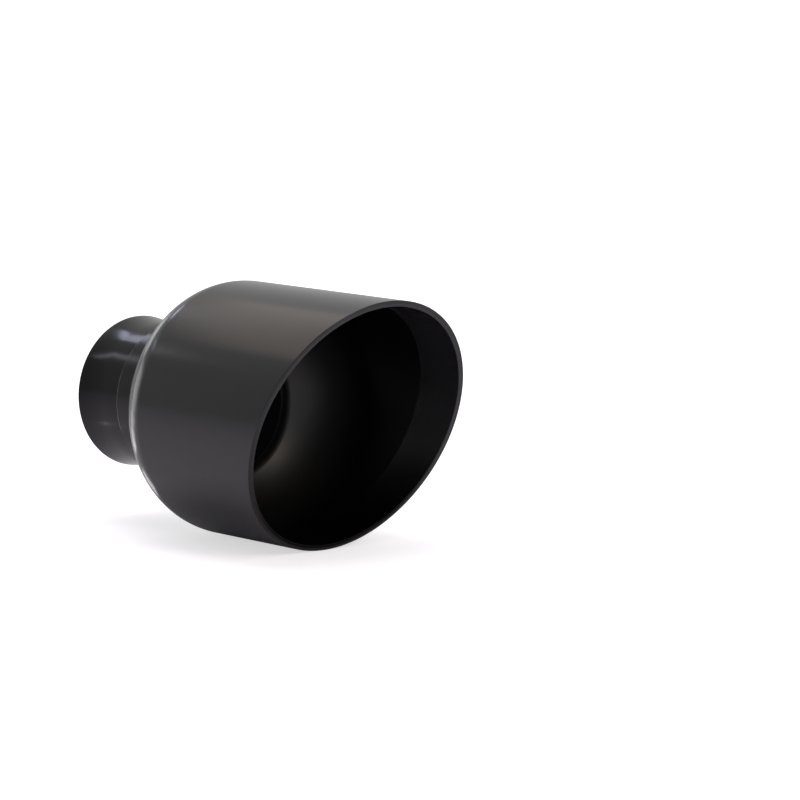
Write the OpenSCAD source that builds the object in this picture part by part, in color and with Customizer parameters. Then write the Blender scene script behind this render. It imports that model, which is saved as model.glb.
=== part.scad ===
// Slash-cut exhaust tip with a double wall and a slip-on inlet.
// The axis lies along X: the origin is where the inlet's straight bore begins, just past its flared end.
// The mouth points to +X and the long lip is up.

/* [Tail pipe] */
// Outside diameter of the tail pipe that slides into the inlet
pipe_od = 70; // [60:0.5:75]
// Gap all round between the tail pipe and the inlet's bore
slip_clearance = 0.4; // [0.2:0.05:0.8]

/* [Inlet tube] */
// Thickness of the inlet tube's wall
tube_wall = 1.9; // [1.2:0.1:2.5]
// Length of the inlet tube that shows behind the shell
exposed_length = 33; // [28:0.5:60]
// Length over which the inlet's end opens out
flare_length = 20; // [8:0.5:25]
// How far the flared end stands out from the tube's outside
flare_rise = 1.35; // [0.5:0.05:3]
// Length of the inlet tube inside the body, from the end of the shell's neck
inner_reach = 22.5; // [16:0.5:30]

/* [Outer shell] */
// Outside diameter of the drum
drum_od = 127; // [112:0.5:150]
// Thickness of the shell's sheet
shell_wall = 1.5; // [1:0.1:2]
// Length of the straight neck that grips the inlet tube
neck_length = 17; // [10:0.5:25]
// Hollow radius between the neck and the shoulder
neck_fillet = 12; // [6:0.5:16]
// Radius of the rounded shoulder
shoulder_radius = 26; // [18:0.5:30]
// Angle of the slash cut, measured from a square cut
cut_angle = 22.5; // [10:0.5:30]

/* [Lip ring] */
// Depth of the lip ring along the axis
lip_depth = 29; // [15:0.5:40]
// Thickness of the lip ring
lip_wall = 1.5; // [1:0.1:2]

/* [Inner liner] */
// Thickness of the liner's sheet
liner_wall = 1.5; // [1:0.1:2]
// Radius of the liner's bell
bell_radius = 44; // [36:0.5:55]
// Rounding where the bell runs into the inlet's bore
throat_radius = 6; // [3:0.5:9]
// Straight length of the liner between its bell and the lip ring, on the short side
liner_straight = 6; // [2:0.5:60]

/* [Neck weld] */
// Leg of the weld between the shell's neck and the inlet tube
weld_leg = 1.2; // [0.6:0.1:1.5]

/* [Hidden] */
$fn = 240;
coat_black = "#1d1d20";
liner_black = "#131315";

// Radii about the axis, from the bore outwards
bore_r = pipe_od / 2 + slip_clearance;
tube_r = bore_r + tube_wall;
neck_r = tube_r + shell_wall;
drum_r = drum_od / 2;
shell_bore_r = drum_r - shell_wall;
liner_bore_r = shell_bore_r - liner_wall;

// Places along the axis, from the start of the straight bore to the mouth
shell_start = exposed_length - flare_length;
neck_end = shell_start + neck_length;
tube_front = neck_end + inner_reach;
shoulder_x = neck_end + ogee_run(neck_r + neck_fillet, drum_r - shoulder_radius, neck_fillet + shoulder_radius);
bell_x = tube_front + ogee_run(bore_r + throat_radius, liner_bore_r - bell_radius, throat_radius + bell_radius);
cut_x = bell_x + liner_straight + shell_bore_r * tan(cut_angle) + lip_depth;
mouth_tip = cut_x + drum_r * tan(cut_angle);
cutter = 2 * (mouth_tip + flare_length + drum_od);

// Distance along the axis between the centres of two arcs that touch
function ogee_run(hollow_r, round_r, reach) = sqrt(pow(reach, 2) - pow(hollow_r - round_r, 2));

// Half section of a straight neck that runs through a hollow and a round arc into a straight drum
module ogee_section(start, hollow_x, round_x, small_r, large_r, hollow, rounding) {
    hollow_centre = [small_r + hollow, hollow_x];
    round_centre = [large_r - rounding, round_x];
    difference() {
        union() {
            if (hollow_x > start) translate([0, start]) square([small_r, hollow_x - start]);
            polygon([[0, hollow_x], hollow_centre, round_centre, [0, round_x]]);
            intersection() {
                translate(round_centre) circle(rounding);
                translate([0, hollow_x]) square([large_r, round_x - hollow_x + rounding]);
            }
            translate([0, round_x]) square([large_r, mouth_tip - round_x]);
        }
        translate(hollow_centre) circle(hollow);
    }
}

// Half section between two radii, along a stretch of the axis
module wall_section(start, end, inner_r, outer_r) {
    translate([inner_r, start]) square([outer_r - inner_r, end - start]);
}

// Turns a half section about the X axis
module turned() {
    rotate([0, 90, 0]) rotate_extrude() children();
}

// Everything in front of the slash cut, or of a plane set back from it along the axis
module beyond_cut(setback) {
    translate([cut_x - setback, 0, 0]) rotate([0, cut_angle, 0])
        translate([0, -cutter / 2, -cutter / 2]) cube(cutter);
}

// Drum, shoulder and neck, spun from one tube and cut off at a slant
module outer_shell() {
    color(coat_black) difference() {
        turned() difference() {
            ogee_section(shell_start, neck_end, shoulder_x, neck_r, drum_r, neck_fillet, shoulder_radius);
            ogee_section(shell_start, neck_end, shoulder_x, tube_r, shell_bore_r,
                neck_fillet + shell_wall, shoulder_radius - shell_wall);
        }
        beyond_cut(0);
    }
}

// Band inside the mouth, with both edges parallel to the slash cut
module lip_ring() {
    color(coat_black) difference() {
        intersection() {
            turned() wall_section(bell_x, mouth_tip, shell_bore_r - lip_wall, shell_bore_r);
            beyond_cut(lip_depth);
        }
        beyond_cut(0);
    }
}

// Bell that leads from the inlet tube to the back edge of the lip ring
module inner_liner() {
    color(liner_black) difference() {
        turned() difference() {
            ogee_section(tube_front, tube_front, bell_x, bore_r + liner_wall, shell_bore_r,
                throat_radius - liner_wall, bell_radius + liner_wall);
            ogee_section(tube_front, tube_front, bell_x, bore_r, liner_bore_r, throat_radius, bell_radius);
        }
        beyond_cut(lip_depth);
    }
}

// Inlet tube, opened out at its end so that the tail pipe starts easily
module inlet_tube() {
    flare_arc = (pow(flare_length, 2) + pow(flare_rise, 2)) / (2 * flare_rise);
    color(coat_black) turned() {
        wall_section(0, tube_front, bore_r, tube_r);
        difference() {
            wall_section(-flare_length, 0, bore_r, tube_r + flare_rise);
            translate([tube_r + flare_arc, 0]) circle(flare_arc);
            difference() {
                wall_section(-flare_length, 0, 0, tube_r + flare_rise);
                translate([tube_r + flare_arc, 0]) circle(flare_arc + tube_wall);
            }
        }
    }
}

// Fillet weld in the corner between the shell's neck and the inlet tube
module neck_weld() {
    color(coat_black) turned()
        polygon([[tube_r, shell_start], [tube_r + weld_leg, shell_start], [tube_r, shell_start - weld_leg]]);
}

outer_shell();
lip_ring();
inner_liner();
inlet_tube();
neck_weld();
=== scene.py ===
"""Looks of the slash-cut exhaust tip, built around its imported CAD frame.

The part's lengths are in millimetres until LATHE_UNIT turns them into metres. Those of soot, heat, floor
and lamps are in metres from the start.
"""

import math

import bpy
import numpy as np
from mathutils import Matrix, Vector


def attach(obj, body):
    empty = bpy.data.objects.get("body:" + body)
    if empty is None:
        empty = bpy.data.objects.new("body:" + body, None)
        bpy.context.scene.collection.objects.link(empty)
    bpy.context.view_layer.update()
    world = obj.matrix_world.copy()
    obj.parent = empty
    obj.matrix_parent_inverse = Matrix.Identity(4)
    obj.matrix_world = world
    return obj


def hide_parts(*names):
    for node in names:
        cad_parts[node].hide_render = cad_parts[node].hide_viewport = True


# Sizes of the part, as its source has them or works them out
LATHE_UNIT = 0.001
DRUM_R, SHELL_BORE_R, LINER_BORE_R = 63.5, 62.0, 60.5
NECK_R, TUBE_R, BORE_R = 38.8, 37.3, 35.4
TUBE_END, FLARE_END_OUT, FLARE_END_IN, FLARE_ARC = -20.0, 38.65, 36.73, 148.8
SHELL_START, NECK_END, TUBE_FRONT = 13.0, 30.0, 52.5
NECK_FILLET, SHOULDER_R = 12.0, 26.0
THROAT_R, BELL_R = 6.0, 44.0
SHEET = 1.5
CUT_X, LIP_DEPTH = 156.54, 29.0
CUT_SLOPE = math.tan(math.radians(22.5))
WELD_LEG = 1.2

# Roundings of the worked edges and of the hidden ones
RIM_EDGE, TUBE_EDGE, NECK_EDGE, WELD_EDGE, HIDDEN_EDGE = 0.45, 0.5, 0.7, 0.15, 0.05

# The flare's rounding, tighter than its arc so that it ends before the rounding of the tube's edge
FLARE_ROUNDING = FLARE_ARC * 0.93

# Points around the axis, and how far up each of them lies as a share of its radius
SEGMENTS = 384
ANGLES = np.linspace(0, 2 * math.pi, SEGMENTS, endpoint=False)
UP_SHARE = np.cos(ANGLES)

# Radius above which a rounding is large, and degrees between rings on large, small and hidden roundings
LARGE_ROUNDING, LARGE_STEP, EDGE_STEP, HIDDEN_STEP = 2, 3.0, 11.0, 40.0

# Fewest steps on a rounding, and the distance below which two rings are made one
LEAST_STEPS, SAME_PLACE = 3, 0.001

# Camera: turn and look down in degrees, distance in drum radii, focal length and mouth's centre in pixels
CAM_TURN, CAM_DOWN, CAM_DISTANCE = 50.02, 7.70, 31.90
CAM_FOCAL_PX, CAM_MOUTH_PX = 4207.0, (357.6, 427.3)

# Side of the image in pixels, width of the sensor in millimetres and reach of the camera in metres
IMAGE_SIDE, SENSOR_MM, CAM_REACH = 800, 36.0, 50

# Coats: two near colours, roughness and its spread, orange peel's size in millimetres and strength, and IOR
COATS = {
    "shell_black": ((0.003, 0.003, 0.004), (0.006, 0.005, 0.006), 0.20, 0.02, 2.2, 0.25, 1.5),
    # lip_black's colours are lighter and liner_black's darker than shell_black's: painted light on the band
    # inside the mouth, painted shade in the liner behind it
    "lip_black": ((0.013, 0.013, 0.015), (0.017, 0.016, 0.018), 0.22, 0.03, 2.2, 0.2, 1.5),
    "liner_black": ((0.001, 0.001, 0.001), (0.002, 0.002, 0.002), 0.44, 0.04, 2.6, 0.3, 1.5),
    "tube_black": ((0.004, 0.004, 0.005), (0.007, 0.006, 0.007), 0.15, 0.03, 2.2, 0.25, 1.27),
    "bore_black": ((0.0008, 0.0008, 0.0008), (0.0015, 0.0015, 0.0015), 0.85, 0.05, 2.6, 0.3, 1.1),
    "weld_black": ((0.022, 0.022, 0.023), (0.030, 0.028, 0.030), 0.18, 0.05, 1.0, 0.5, 1.5),
}

# Noise of the drift and of the orange peel, and the peel's height in metres
DRIFT_SCALE, DRIFT_DETAIL = 22.0, 3.0
PEEL_DETAIL, PEEL_HEIGHT = 2.0, 0.00002

# Radius that parts the tube's bore from its outside
BORE_LIMIT_R = 37.0

# Where soot and heat dull a coat: stretches of the axis, and the gloss at the two ends of each
LINER_SOOT = (((0.053, 0.056), (0.05, 0.75)), ((0.074, 0.094), (0.75, 0.05)))
NECK_HEAT = (((0.030, 0.044), (0.24, 0.5)),)

# Painted shade low down on the lip ring: its stretch of height, its colour, and the gloss below and above the
# stretch
LIP_PAINTED_SHADE, PAINTED_SHADE_BLACK, PAINTED_SHADE_GLOSS = (-0.055, -0.010), (0.001, 0.001, 0.001), (0.12, 0.5)

# Surroundings: brightness on the camera's side and on the far side, and the directions in Y between the two
STUDIO_NEAR, STUDIO_FAR = 0.40, 0.64
STUDIO_RAMP = (-0.64, 0.1)

# Floor: half its side, colour, roughness and gloss
FLOOR_HALF, FLOOR_COLOR, FLOOR_ROUGHNESS, FLOOR_GLOSS = 30.0, (0.86, 0.82, 0.88), 0.9, 0.1

# Floor: near and far, its own light there for the camera and mirrors, and what the camera alone sees more
FLOOR_REACH = (0.15, 0.9)
FLOOR_GLOW, FLOOR_LIFT = (0.0, 0.03), (0.60, 0.80)

# Colours of the neutral lamps, and the height of the table lamps, which lie just above the floor
WHITE, COOL_WHITE = (1.0, 1.0, 1.0), (0.98, 1.0, 1.0)
TABLE_Z = -0.062

# Lamps: place, target, width, height, brightness (1 is white), colour, and shape where it isn't a rectangle
LAMPS = (
    ("overhead", (0.08, 0.0, 0.7), (0.08, 0.0, 0.0), 0.5, 0.5, 2.2, WHITE),
    ("softbox", (-0.186, -0.0285, 0.3), (-0.186, -0.0285, 0.0), 0.152, 0.313, 0.56, (1.0, 0.84, 0.72)),
    ("front_box", (1.118, 0.025, 0.533), (0.058, 0.025, -0.03), 0.35, 0.25, 5.5, (1.0, 0.84, 0.73)),
    ("small_box", (-0.2785, 0.0158, 0.2496), (-0.007, -0.02, 0.0317), 0.076, 0.03, 5.5, (0.75, 0.79, 1.0),
     "ELLIPSE"),
    ("side_strip", (-0.271, -0.155, 0.212), (-0.005, -0.031, 0.021), 0.1, 0.018, 2.7, (0.9, 0.93, 1.0)),
    ("back_screen", (-1.45, -0.46, 0.17), (0.06, -0.06, 0.0), 0.56, 0.45, 1.8, COOL_WHITE),
    ("upper_screen", (-1.42, 0.175, 0.40), (0.06, -0.06, 0.03), 0.55, 0.18, 1.9, COOL_WHITE),
    ("table_far", (-0.95, -0.275, TABLE_Z), (-0.95, -0.275, 1.0), 0.7, 0.29, 1.8, COOL_WHITE),
    ("table_middle", (-0.42, -0.125, TABLE_Z), (-0.42, -0.125, 1.0), 0.36, 0.13, 1.9, COOL_WHITE),
    ("table_near", (-0.185, -0.0675, TABLE_Z), (-0.185, -0.0675, 1.0), 0.11, 0.075, 2.0, COOL_WHITE),
    ("table_close", (-0.11, -0.0575, TABLE_Z), (-0.11, -0.0575, 1.0), 0.045, 0.04, 3.2, COOL_WHITE),
    ("table_edge", (-0.005, -0.045, TABLE_Z), (-0.005, -0.045, 1.0), 0.05, 0.018, 2.2, COOL_WHITE),
)


def cut_line(radius, setback=0.0):
    """Place along the axis, at each angle, where the slash cut or a plane set back from it meets a radius."""
    return CUT_X - setback + CUT_SLOPE * radius * UP_SHARE


def ogee_corners(hollow_x, small_r, large_r, hollow, rounding):
    """The two corners that a hollow arc and a round arc, which touch each other, are the roundings of."""
    rise = small_r + hollow - large_r + rounding
    run = math.sqrt((hollow + rounding) ** 2 - rise ** 2)
    half_turn = math.tan(math.atan2(run, rise) / 2)
    return ((hollow_x + hollow * half_turn, small_r, hollow),
            (hollow_x + run - rounding * half_turn, large_r, rounding))


def arc_step(radius):
    """Degrees of an arc between two rings: fine on a large rounding, coarse on a hidden edge."""
    if radius > LARGE_ROUNDING:
        return LARGE_STEP
    return EDGE_STEP if radius > HIDDEN_EDGE else HIDDEN_STEP


def turned(pair, turn):
    """A flat vector at each angle about the axis, turned in the half section."""
    cos, sin = np.cos(turn), np.sin(turn)
    return np.stack([pair[0] * cos - pair[1] * sin, pair[0] * sin + pair[1] * cos])


def rounded_loop(corners):
    """Rings of a closed half section. A corner (x, r, radius) becomes an arc, and x may differ by angle."""
    points = [np.stack(np.broadcast_arrays(corner[0], corner[1], ANGLES)[:2]) for corner in corners]
    places, tangents = [], []
    for i, (point, corner) in enumerate(zip(points, corners)):
        before = point - points[i - 1]
        after = points[(i + 1) % len(points)] - point
        before = before / np.linalg.norm(before, axis=0)
        after = after / np.linalg.norm(after, axis=0)
        cross = before[0] * after[1] - before[1] * after[0]
        turn = np.arctan2(cross, (before * after).sum(0))
        radius = corner[2]
        reach = radius * np.tan(np.abs(turn) / 2)
        start = point - before * reach
        side = np.stack([-before[1], before[0]]) * np.sign(turn)
        centre = start + side * radius
        spoke = start - centre
        steps = max(LEAST_STEPS, math.ceil(math.degrees(np.abs(turn).max()) / arc_step(radius)))
        for share in np.linspace(0, 1, steps + 1):
            places.append(centre + turned(spoke, turn * share))
            tangents.append(turned(before, turn * share))
    kept = [i for i in range(len(places)) if np.abs(places[i] - places[i - 1]).max() > SAME_PLACE]
    return np.array(places)[kept], np.array(tangents)[kept]


def around_axis(rings):
    """Points or directions of the half section, turned about the X axis."""
    return np.stack([rings[:, 0], rings[:, 1] * np.sin(ANGLES), rings[:, 1] * np.cos(ANGLES)], axis=-1)


def signed_volume(mesh):
    """Volume inside the mesh, below zero where its faces point inwards."""
    points = np.array([vertex.co for vertex in mesh.vertices])
    quads = np.array([face.vertices[:] for face in mesh.polygons])
    a, b, c, d = (points[quads[:, i]] for i in range(4))
    halves = np.einsum("ij,ij->i", a, np.cross(b, c)) + np.einsum("ij,ij->i", a, np.cross(c, d))
    return float(halves.sum() / 6)


def lathe(name, corners, material, node):
    """A closed ring of metal about the X axis, with exact normals, in place of a CAD node."""
    places, tangents = rounded_loop(corners)
    verts = around_axis(places)
    around = np.roll(verts, -1, axis=1) - np.roll(verts, 1, axis=1)
    normals = np.cross(around_axis(tangents), around)
    normals /= np.linalg.norm(normals, axis=-1, keepdims=True)
    faces = []
    for ring in range(len(places)):
        row = ring * SEGMENTS
        next_row = (ring + 1) % len(places) * SEGMENTS
        for here in range(SEGMENTS):
            beside = (here + 1) % SEGMENTS
            faces.append((row + here, next_row + here, next_row + beside, row + beside))
    mesh = bpy.data.meshes.new(name)
    mesh.from_pydata((verts.reshape(-1, 3) * LATHE_UNIT).tolist(), [], faces)
    first = mesh.polygons[0]
    facing = Vector(normals.reshape(-1, 3)[first.vertices[0]])
    if first.normal.dot(facing) < 0:
        normals = -normals
    if signed_volume(mesh) < 0:
        mesh.flip_normals()
        normals = -normals
    mesh.shade_smooth()
    mesh.normals_split_custom_set_from_vertices(normals.reshape(-1, 3).tolist())
    obj = bpy.data.objects.new(name, mesh)
    bpy.context.scene.collection.objects.link(obj)
    mesh.materials.append(material)
    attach(obj, "root")
    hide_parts(node)
    return obj


def new_material(name):
    """A material with its node tree and its shader."""
    material = bpy.data.materials.new(name)
    material.use_nodes = True
    return material, material.node_tree, material.node_tree.nodes["Principled BSDF"]


def ramp(tree, value, levels, stretch=(0, 1), smooth=True):
    """Two levels at the ends of a value's stretch, and a run between them."""
    node = tree.nodes.new("ShaderNodeMapRange")
    node.interpolation_type = "SMOOTHSTEP" if smooth else "LINEAR"
    node.inputs["From Min"].default_value, node.inputs["From Max"].default_value = stretch
    node.inputs["To Min"].default_value, node.inputs["To Max"].default_value = levels
    tree.links.new(value, node.inputs["Value"])
    return node.outputs["Result"]


def calculated(tree, operation, first, second):
    """Two values put through a Math node."""
    node = tree.nodes.new("ShaderNodeMath")
    node.operation = operation
    tree.links.new(first, node.inputs[0])
    tree.links.new(second, node.inputs[1])
    return node.outputs[0]


def noise(tree, place, scale, detail):
    """Noise over the object."""
    node = tree.nodes.new("ShaderNodeTexNoise")
    node.inputs["Scale"].default_value = scale
    node.inputs["Detail"].default_value = detail
    tree.links.new(place, node.inputs["Vector"])
    return node.outputs["Fac"]


def coordinate(tree, kind, axis):
    """One axis of a kind of texture coordinates."""
    place = tree.nodes.new("ShaderNodeTexCoord")
    split = tree.nodes.new("ShaderNodeSeparateXYZ")
    tree.links.new(place.outputs[kind], split.inputs[0])
    return split.outputs[axis]


def coat(name):
    """Black coating: a slow drift between two near colours, uneven gloss and a very fine orange peel."""
    color, other, roughness, spread, peel_mm, peel_strength, ior = COATS[name]
    material, tree, shader = new_material(name)
    shader.inputs["IOR"].default_value = ior
    place = tree.nodes.new("ShaderNodeTexCoord").outputs["Object"]
    drift = noise(tree, place, DRIFT_SCALE, DRIFT_DETAIL)
    mix = tree.nodes.new("ShaderNodeMix")
    mix.data_type = "RGBA"
    mix.inputs["A"].default_value = (*color, 1)
    mix.inputs["B"].default_value = (*other, 1)
    tree.links.new(drift, mix.inputs["Factor"])
    tree.links.new(mix.outputs["Result"], shader.inputs["Base Color"])
    gloss = ramp(tree, drift, (roughness - spread, roughness + spread), smooth=False)
    tree.links.new(gloss, shader.inputs["Roughness"])
    bump = tree.nodes.new("ShaderNodeBump")
    bump.inputs["Strength"].default_value = peel_strength
    bump.inputs["Distance"].default_value = PEEL_HEIGHT
    tree.links.new(noise(tree, place, 1 / (peel_mm * LATHE_UNIT), PEEL_DETAIL), bump.inputs["Height"])
    tree.links.new(bump.outputs["Normal"], shader.inputs["Normal"])
    return material


def dull_along(material, stretches):
    """Soot and heat that dull a coat along the axis. The lowest of the stretches sets its gloss."""
    tree = material.node_tree
    along = coordinate(tree, "Object", "X")
    level = None
    for stretch, ends in stretches:
        other = ramp(tree, along, ends, stretch)
        level = calculated(tree, "MINIMUM", level, other) if level else other
    tree.links.new(level, tree.nodes["Principled BSDF"].inputs["Specular IOR Level"])


def painted_shade_below(material, stretch):
    """Painted shade low down: over a stretch of the height a coat turns black and dull, standing in for the
    shade that falls there.
    """
    tree = material.node_tree
    shader = tree.nodes["Principled BSDF"]
    unshaded = ramp(tree, coordinate(tree, "Object", "Z"), (0, 1), stretch)
    mix = tree.nodes.new("ShaderNodeMix")
    mix.data_type = "RGBA"
    mix.inputs["A"].default_value = (*PAINTED_SHADE_BLACK, 1)
    tree.links.new(unshaded, mix.inputs["Factor"])
    tree.links.new(shader.inputs["Base Color"].links[0].from_socket, mix.inputs["B"])
    tree.links.new(mix.outputs["Result"], shader.inputs["Base Color"])
    tree.links.new(ramp(tree, unshaded, PAINTED_SHADE_GLOSS, smooth=False), shader.inputs["Specular IOR Level"])


def build_shell():
    """Drum, shoulder and neck."""
    black = coat("shell_black")
    dull_along(black, NECK_HEAT)
    corners = [
        (SHELL_START, TUBE_R, HIDDEN_EDGE),
        (SHELL_START, NECK_R, NECK_EDGE),
        *ogee_corners(NECK_END, NECK_R, DRUM_R, NECK_FILLET, SHOULDER_R),
        (cut_line(DRUM_R), DRUM_R, RIM_EDGE),
        (cut_line(SHELL_BORE_R), SHELL_BORE_R, HIDDEN_EDGE),
        *reversed(ogee_corners(NECK_END, TUBE_R, SHELL_BORE_R, NECK_FILLET + SHEET, SHOULDER_R - SHEET)),
    ]
    lathe("shell_coated", corners, black, "outer_shell")


def build_lip():
    """Band inside the mouth."""
    black = coat("lip_black")
    # Painted shade: the lip ring turns black and dull towards the bottom
    painted_shade_below(black, LIP_PAINTED_SHADE)
    corners = [
        (cut_line(LINER_BORE_R, LIP_DEPTH), LINER_BORE_R, HIDDEN_EDGE),
        (cut_line(LINER_BORE_R), LINER_BORE_R, RIM_EDGE),
        (cut_line(SHELL_BORE_R), SHELL_BORE_R, HIDDEN_EDGE),
        (cut_line(SHELL_BORE_R, LIP_DEPTH), SHELL_BORE_R, HIDDEN_EDGE),
    ]
    lathe("lip_coated", corners, black, "lip_ring")


def build_liner():
    """Bell from the inlet tube to the lip ring."""
    black = coat("liner_black")
    dull_along(black, LINER_SOOT)
    corners = [
        (TUBE_FRONT, BORE_R, HIDDEN_EDGE),
        (TUBE_FRONT, BORE_R + SHEET, HIDDEN_EDGE),
        *ogee_corners(TUBE_FRONT, BORE_R + SHEET, SHELL_BORE_R, THROAT_R - SHEET, BELL_R + SHEET),
        (cut_line(SHELL_BORE_R, LIP_DEPTH), SHELL_BORE_R, HIDDEN_EDGE),
        (cut_line(LINER_BORE_R, LIP_DEPTH), LINER_BORE_R, HIDDEN_EDGE),
        *reversed(ogee_corners(TUBE_FRONT, BORE_R, LINER_BORE_R, THROAT_R, BELL_R)),
    ]
    lathe("liner_coated", corners, black, "inner_liner")


def build_tube():
    """Inlet tube with its flared end. Its bore has a coat of its own."""
    flare_corner_x = -FLARE_ARC * math.tan(math.asin(-TUBE_END / FLARE_ARC) / 2)
    corners = [
        (TUBE_FRONT, BORE_R, HIDDEN_EDGE),
        (flare_corner_x, BORE_R, FLARE_ROUNDING),
        (TUBE_END, FLARE_END_IN, TUBE_EDGE),
        (TUBE_END, FLARE_END_OUT, TUBE_EDGE),
        (flare_corner_x, TUBE_R, FLARE_ROUNDING),
        (TUBE_FRONT, TUBE_R, HIDDEN_EDGE),
    ]
    tube = lathe("tube_coated", corners, coat("tube_black"), "inlet_tube")
    tube.data.materials.append(coat("bore_black"))
    for face in tube.data.polygons:
        if math.hypot(face.center.y, face.center.z) < BORE_LIMIT_R * LATHE_UNIT:
            face.material_index = 1


def build_weld():
    """Weld in the corner between the neck and the tube."""
    corners = [
        (SHELL_START - WELD_LEG, TUBE_R, HIDDEN_EDGE),
        (SHELL_START, TUBE_R + WELD_LEG, WELD_EDGE),
        (SHELL_START, TUBE_R, HIDDEN_EDGE),
    ]
    lathe("weld_coated", corners, coat("weld_black"), "neck_weld")


def build_floor():
    """Pale floor that the camera sees as white and that keeps the object's shadow."""
    level = -DRUM_R * LATHE_UNIT
    corners = [(x * FLOOR_HALF, y * FLOOR_HALF, level) for x, y in ((-1, -1), (1, -1), (1, 1), (-1, 1))]
    mesh = bpy.data.meshes.new("floor")
    mesh.from_pydata(corners, [], [(0, 1, 2, 3)])
    floor = bpy.data.objects.new("floor", mesh)
    bpy.context.scene.collection.objects.link(floor)
    material, tree, shader = new_material("floor_white")
    shader.inputs["Base Color"].default_value = (*FLOOR_COLOR, 1)
    shader.inputs["Roughness"].default_value = FLOOR_ROUGHNESS
    shader.inputs["Specular IOR Level"].default_value = FLOOR_GLOSS
    reach = tree.nodes.new("ShaderNodeVectorMath")
    reach.operation = "LENGTH"
    tree.links.new(tree.nodes.new("ShaderNodeTexCoord").outputs["Object"], reach.inputs[0])
    away = reach.outputs["Value"]
    path = tree.nodes.new("ShaderNodeLightPath").outputs
    mirrored = calculated(tree, "ADD", path["Is Glossy Ray"], path["Is Transmission Ray"])
    seen = calculated(tree, "ADD", path["Is Camera Ray"], mirrored)
    shared = calculated(tree, "MULTIPLY", seen, ramp(tree, away, FLOOR_GLOW, FLOOR_REACH))
    lift = calculated(tree, "MULTIPLY", path["Is Camera Ray"], ramp(tree, away, FLOOR_LIFT, FLOOR_REACH))
    glow = tree.nodes.new("ShaderNodeEmission")
    tree.links.new(calculated(tree, "ADD", shared, lift), glow.inputs["Strength"])
    both = tree.nodes.new("ShaderNodeAddShader")
    tree.links.new(shader.outputs[0], both.inputs[0])
    tree.links.new(glow.outputs[0], both.inputs[1])
    tree.links.new(both.outputs[0], tree.nodes["Material Output"].inputs["Surface"])
    mesh.materials.append(material)


def light_panel(name, place, target, width, height, strength, color, shape="RECTANGLE"):
    """A soft flat lamp that points at a target. A strength of 1 looks as bright as white."""
    data = bpy.data.lights.new(name, "AREA")
    data.shape = shape
    data.size, data.size_y = width, height
    area = width * height * (math.pi / 4 if shape == "ELLIPSE" else 1)
    data.energy = strength * math.pi * area
    data.color = color
    lamp = bpy.data.objects.new(name, data)
    lamp.location = place
    lamp.visible_camera = False
    lamp.rotation_euler = (Vector(target) - Vector(place)).to_track_quat("-Z", "Y").to_euler()
    bpy.context.scene.collection.objects.link(lamp)


def build_light():
    """Pale surroundings, brighter on the side away from the camera and white to its eye, and the lamps."""
    world = bpy.data.worlds.new("studio")
    bpy.context.scene.world = world
    world.use_nodes = True
    tree = world.node_tree
    across = coordinate(tree, "Generated", "Y")
    level = ramp(tree, across, (STUDIO_NEAR, STUDIO_FAR), STUDIO_RAMP, smooth=False)
    camera_ray = tree.nodes.new("ShaderNodeLightPath").outputs["Is Camera Ray"]
    background = tree.nodes["Background"]
    tree.links.new(calculated(tree, "MAXIMUM", level, camera_ray), background.inputs["Strength"])
    background.inputs["Color"].default_value = (1, 1, 1, 1)
    for lamp in LAMPS:
        light_panel(*lamp)


def place_camera():
    """Camera at the photograph's angle, found from the mouth's centre in the image."""
    turn, down = math.radians(CAM_TURN), math.radians(CAM_DOWN)
    up_axis = np.array([0, -math.cos(down), -math.sin(down)])
    level = np.array([0, math.sin(down), -math.cos(down)])
    long_axis = math.cos(turn) * np.array([1, 0, 0]) + math.sin(turn) * level
    to_camera = np.stack([long_axis, np.cross(up_axis, long_axis), up_axis], axis=1)
    distance = CAM_DISTANCE * DRUM_R * LATHE_UNIT
    offset = np.array([(CAM_MOUTH_PX[0] - IMAGE_SIDE / 2) / CAM_FOCAL_PX * distance,
                       (CAM_MOUTH_PX[1] - IMAGE_SIDE / 2) / CAM_FOCAL_PX * distance, distance])
    place = np.array([CUT_X * LATHE_UNIT, 0, 0]) - to_camera.T @ offset
    right, below, ahead = to_camera
    data = bpy.data.cameras.new("camera")
    data.sensor_width = SENSOR_MM
    data.lens = CAM_FOCAL_PX / IMAGE_SIDE * SENSOR_MM
    data.clip_end = CAM_REACH
    camera = bpy.data.objects.new("camera", data)
    rows = np.stack([right, -below, -ahead], axis=1)
    camera.matrix_world = Matrix.Translation(Vector(place)) @ Matrix(rows.tolist()).to_4x4()
    bpy.context.scene.collection.objects.link(camera)
    bpy.context.scene.camera = camera


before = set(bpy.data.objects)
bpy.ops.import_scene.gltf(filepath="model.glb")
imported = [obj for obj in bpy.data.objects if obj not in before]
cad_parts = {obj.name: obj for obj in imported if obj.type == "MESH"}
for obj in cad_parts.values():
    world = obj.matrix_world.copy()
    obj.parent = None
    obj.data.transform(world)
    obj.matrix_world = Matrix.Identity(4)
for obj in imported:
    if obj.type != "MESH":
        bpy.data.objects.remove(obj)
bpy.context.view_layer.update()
build_shell()
build_lip()
build_liner()
build_tube()
build_weld()
build_floor()
build_light()
place_camera()
bpy.context.scene.view_settings.view_transform = "Standard"
